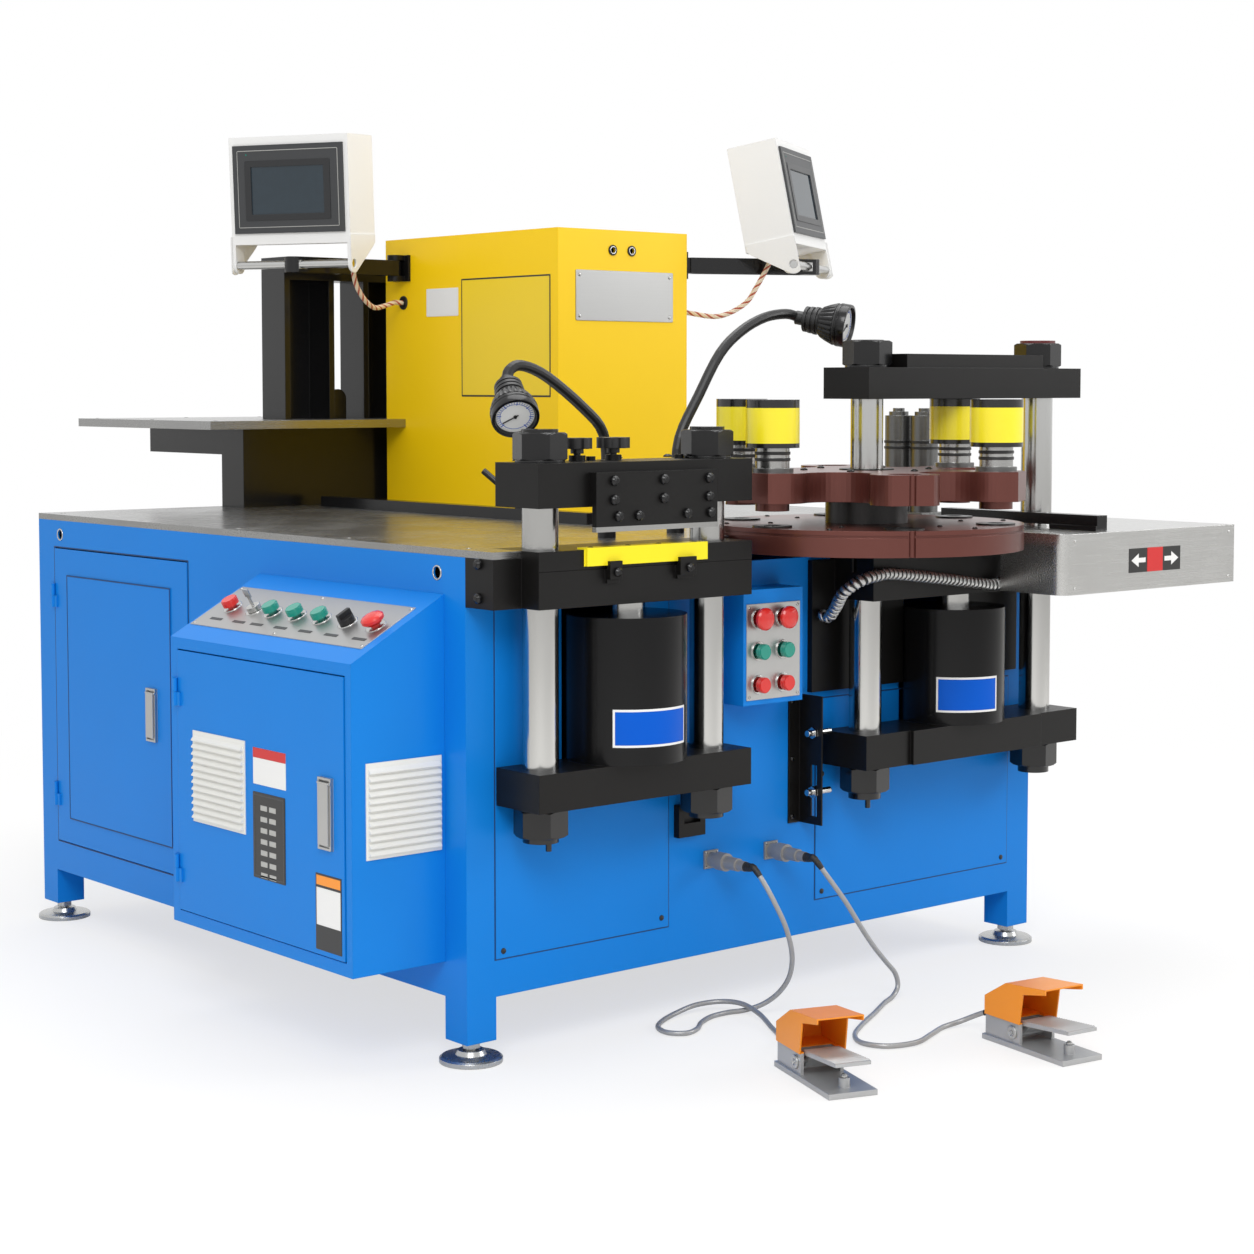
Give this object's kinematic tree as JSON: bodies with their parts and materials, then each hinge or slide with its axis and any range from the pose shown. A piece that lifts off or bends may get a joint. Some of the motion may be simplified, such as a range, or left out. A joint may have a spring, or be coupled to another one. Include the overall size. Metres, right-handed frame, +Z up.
{
  "type": "busbar processing machine",
  "caption": "Floor cabinet with a busbar shear, turret punch and bending bench on its worktop, run from a sloped control box, a pendant, swinging screens and foot pedals.",
  "frame": {"origin": "on the floor under the centre of the levelling foot at the corner between the working front and the control box side", "axes": "+X along the working front towards the punch, +Y from the front into the depth of the cabinet, +Z up"},
  "size_m": [1.865, 2.5259, 1.6539],
  "materials": {
    "machine_blue": "satin powder coat",
    "foot_steel": "satin",
    "worktop_steel": "ground",
    "black_oxide": "satin black",
    "hood_yellow": "satin powder coat",
    "gauge_black": "matte",
    "press_black": "satin black",
    "dark_steel": "satin",
    "tool_steel": "turned",
    "stainless": "brushed",
    "pendant_blue": "satin powder coat",
    "switch_grey": "matte",
    "tank_steel": "satin",
    "pedal_alloy": "cast, with an orange guard",
    "connector_alloy": "satin",
    "hose_black": "matte",
    "cord_grey": "satin",
    "fence_black": "satin",
    "latch_steel": "brushed",
    "knob_black": "satin",
    "disc_bronze": "browned steel",
    "head_yellow": "gloss",
    "arm_black": "satin",
    "case_white": "satin",
    "cable_pale": "braided sleeve",
    "tread_alloy": "ribbed",
    "button_red": "gloss",
    "button_green": "gloss",
    "key_chrome": "polished",
    "selector_black": "satin"
  },
  "bodies": {
    "base": {"cabinet": "machine_blue", "levelling_feet": "foot_steel", "worktops": "worktop_steel", "bend_frame": "black_oxide", "housing": "hood_yellow", "gauges": "gauge_black", "cut_bed": "press_black", "punch_bracket": "dark_steel", "spare_tools": "tool_steel", "gauge_trough": "stainless", "pendant_box": "pendant_blue", "control_box": "machine_blue", "switchgear": "switch_grey", "hydraulic_unit": "tank_steel", "pedal_bases": "pedal_alloy", "connectors": "connector_alloy", "wrapped_hose": "hose_black", "cord_left": "cord_grey", "cord_right": "cord_grey", "screen_cable_left": "cable_pale", "screen_cable_right": "cable_pale"},
    "fence": {"gauge_fence": "fence_black"},
    "control_door": {"control_door": "machine_blue"},
    "control_latch": {"control_latch": "latch_steel"},
    "side_door": {"side_door": "machine_blue"},
    "side_latch": {"side_latch": "latch_steel"},
    "shear": {"cut_beam": "press_black", "cut_yoke": "press_black", "cut_tie_rods": "tool_steel", "blade_holder": "press_black"},
    "knob_left": {"star_knob_left": "knob_black"},
    "knob_right": {"star_knob_right": "knob_black"},
    "punch": {"punch_beam": "press_black", "punch_yoke": "press_black", "punch_tie_rods": "tool_steel"},
    "turret": {"tool_disc": "disc_bronze", "die_disc": "disc_bronze"},
    "head_1": {"punch_head_1": "head_yellow"},
    "head_2": {"punch_head_2": "head_yellow"},
    "head_3": {"punch_head_3": "head_yellow"},
    "head_4": {"punch_head_4": "head_yellow"},
    "arm_left": {"screen_arm_left": "arm_black"},
    "arm_right": {"screen_arm_right": "arm_black"},
    "screen_left": {"screen_case_left": "case_white"},
    "screen_right": {"screen_case_right": "case_white"},
    "treadle_left": {"treadle_left": "tread_alloy"},
    "treadle_right": {"treadle_right": "tread_alloy"},
    "red_button": {"red_button": "button_red"},
    "key_switch": {"key_switch": "key_chrome"},
    "green_button_1": {"green_button_1": "button_green"},
    "green_button_2": {"green_button_2": "button_green"},
    "green_button_3": {"green_button_3": "button_green"},
    "selector": {"selector": "selector_black"},
    "stop_mushroom": {"stop_mushroom": "button_red"},
    "pendant_mushroom_1": {"pendant_mushroom_1": "button_red"},
    "pendant_mushroom_2": {"pendant_mushroom_2": "button_red"},
    "pendant_green_1": {"pendant_green_1": "button_green"},
    "pendant_green_2": {"pendant_green_2": "button_green"},
    "pendant_red_1": {"pendant_red_1": "button_red"},
    "pendant_red_2": {"pendant_red_2": "button_red"}
  },
  "joints": [
    {"name": "shear_press", "type": "slide", "parent": "base", "child": "shear", "axis": [0, 0, -1], "range_m": [0, 0.04]},
    {"name": "punch_press", "type": "slide", "parent": "base", "child": "punch", "axis": [0, 0, -1], "range_m": [0, 0.032]},
    {"name": "turret_turn", "type": "hinge", "parent": "base", "child": "turret", "pos_m": [0.837, -0.09, 0.87], "axis": [0, 0, 1], "continuous": true},
    {"name": "head_press_1", "type": "slide", "parent": "turret", "child": "head_1", "axis": [0, 0, -1], "range_m": [0, 0.032]},
    {"name": "head_press_2", "type": "slide", "parent": "turret", "child": "head_2", "axis": [0, 0, -1], "range_m": [0, 0.032], "stiffness_N_per_m": 3000, "springref_m": -0.015},
    {"name": "head_press_3", "type": "slide", "parent": "turret", "child": "head_3", "axis": [0, 0, -1], "range_m": [0, 0.032], "stiffness_N_per_m": 3000, "springref_m": -0.015},
    {"name": "head_press_4", "type": "slide", "parent": "turret", "child": "head_4", "axis": [0, 0, -1], "range_m": [0, 0.032], "stiffness_N_per_m": 3000, "springref_m": -0.015},
    {"name": "fence_slide", "type": "slide", "parent": "base", "child": "fence", "axis": [1, 0, 0], "range_m": [-0.11, 0]},
    {"name": "control_door_swing", "type": "hinge", "parent": "base", "child": "control_door", "pos_m": [-0.22, 0.571, 0.4], "axis": [0, 0, -1], "range_deg": [0, 110]},
    {"name": "side_door_swing", "type": "hinge", "parent": "base", "child": "side_door", "pos_m": [-0.036, 1.389, 0.47], "axis": [0, 0, -1], "range_deg": [0, 110]},
    {"name": "control_latch_lift", "type": "hinge", "parent": "control_door", "child": "control_latch", "pos_m": [-0.221, 0.096, 0.475], "axis": [0, 1, 0], "range_deg": [0, 50], "stiffness_Nm_per_rad": 0.1, "springref_deg": -20.05},
    {"name": "side_latch_lift", "type": "hinge", "parent": "side_door", "child": "side_latch", "pos_m": [-0.039, 0.984, 0.519], "axis": [0, 1, 0], "range_deg": [0, 50], "stiffness_Nm_per_rad": 0.1, "springref_deg": -20.05},
    {"name": "knob_left_turn", "type": "hinge", "parent": "shear", "child": "knob_left", "pos_m": [0.171, -0.07, 1.02], "axis": [0, 0, 1], "continuous": true},
    {"name": "knob_right_turn", "type": "hinge", "parent": "shear", "child": "knob_right", "pos_m": [0.249, -0.07, 1.02], "axis": [0, 0, 1], "continuous": true},
    {"name": "arm_left_swing", "type": "hinge", "parent": "base", "child": "arm_left", "pos_m": [0.748, 1.278, 1.375], "axis": [0, 0, 1], "range_deg": [0, 45], "deforming": ["screen_cable_left"]},
    {"name": "arm_right_swing", "type": "hinge", "parent": "base", "child": "arm_right", "pos_m": [1.148, 0.77, 1.375], "axis": [0, 0, 1], "range_deg": [-40, 35], "deforming": ["screen_cable_right"]},
    {"name": "screen_left_tilt", "type": "hinge", "parent": "arm_left", "child": "screen_left", "pos_m": [0.485, 1.278, 1.375], "axis": [0.4633, -0.8862, 0], "range_deg": [-15, 15], "deforming": ["screen_cable_left"]},
    {"name": "screen_right_tilt", "type": "hinge", "parent": "arm_right", "child": "screen_right", "pos_m": [1.41808, 0.64406, 1.375], "axis": [0.8572, 0.515, 0], "range_deg": [-2, 25], "deforming": ["screen_cable_right"]},
    {"name": "treadle_left_press", "type": "hinge", "parent": "base", "child": "treadle_left", "pos_m": [0.37625, -0.43157, 0.027], "axis": [0.9438, -0.3305, 0], "range_deg": [0, 8], "stiffness_Nm_per_rad": 4, "springref_deg": -20.05},
    {"name": "treadle_right_press", "type": "hinge", "parent": "base", "child": "treadle_right", "pos_m": [0.77938, -0.53634, 0.027], "axis": [0.9877, -0.1564, 0], "range_deg": [0, 8], "stiffness_Nm_per_rad": 4, "springref_deg": -20.05},
    {"name": "red_button_press", "type": "slide", "parent": "base", "child": "red_button", "axis": [0.4848, 0, -0.8746], "range_m": [0, 0.004], "stiffness_N_per_m": 800, "springref_m": -0.003},
    {"name": "key_turn", "type": "hinge", "parent": "base", "child": "key_switch", "pos_m": [-0.12479, 0.456, 0.72245], "axis": [-0.4848, 0, 0.8746], "range_deg": [-90, 0]},
    {"name": "green_button_1_press", "type": "slide", "parent": "base", "child": "green_button_1", "axis": [0.4848, 0, -0.8746], "range_m": [0, 0.004], "stiffness_N_per_m": 800, "springref_m": -0.003},
    {"name": "green_button_2_press", "type": "slide", "parent": "base", "child": "green_button_2", "axis": [0.4848, 0, -0.8746], "range_m": [0, 0.004], "stiffness_N_per_m": 800, "springref_m": -0.003},
    {"name": "green_button_3_press", "type": "slide", "parent": "base", "child": "green_button_3", "axis": [0.4848, 0, -0.8746], "range_m": [0, 0.004], "stiffness_N_per_m": 800, "springref_m": -0.003},
    {"name": "selector_turn", "type": "hinge", "parent": "base", "child": "selector", "pos_m": [-0.12479, 0.167, 0.72245], "axis": [-0.4848, 0, 0.8746], "range_deg": [-45, 45]},
    {"name": "stop_mushroom_press", "type": "slide", "parent": "base", "child": "stop_mushroom", "axis": [0.4848, 0, -0.8746], "range_m": [0, 0.004], "stiffness_N_per_m": 800, "springref_m": -0.003},
    {"name": "pendant_mushroom_1_press", "type": "slide", "parent": "base", "child": "pendant_mushroom_1", "axis": [0, 1, 0], "range_m": [0, 0.004], "stiffness_N_per_m": 800, "springref_m": -0.003},
    {"name": "pendant_mushroom_2_press", "type": "slide", "parent": "base", "child": "pendant_mushroom_2", "axis": [0, 1, 0], "range_m": [0, 0.004], "stiffness_N_per_m": 800, "springref_m": -0.003},
    {"name": "pendant_green_1_press", "type": "slide", "parent": "base", "child": "pendant_green_1", "axis": [0, 1, 0], "range_m": [0, 0.004], "stiffness_N_per_m": 800, "springref_m": -0.003},
    {"name": "pendant_green_2_press", "type": "slide", "parent": "base", "child": "pendant_green_2", "axis": [0, 1, 0], "range_m": [0, 0.004], "stiffness_N_per_m": 800, "springref_m": -0.003},
    {"name": "pendant_red_1_press", "type": "slide", "parent": "base", "child": "pendant_red_1", "axis": [0, 1, 0], "range_m": [0, 0.004], "stiffness_N_per_m": 800, "springref_m": -0.003},
    {"name": "pendant_red_2_press", "type": "slide", "parent": "base", "child": "pendant_red_2", "axis": [0, 1, 0], "range_m": [0, 0.004], "stiffness_N_per_m": 800, "springref_m": -0.003}
  ],
  "couplings": [
    {"joint": "head_press_1", "follows": "punch_press", "ratio": 1}
  ]
}
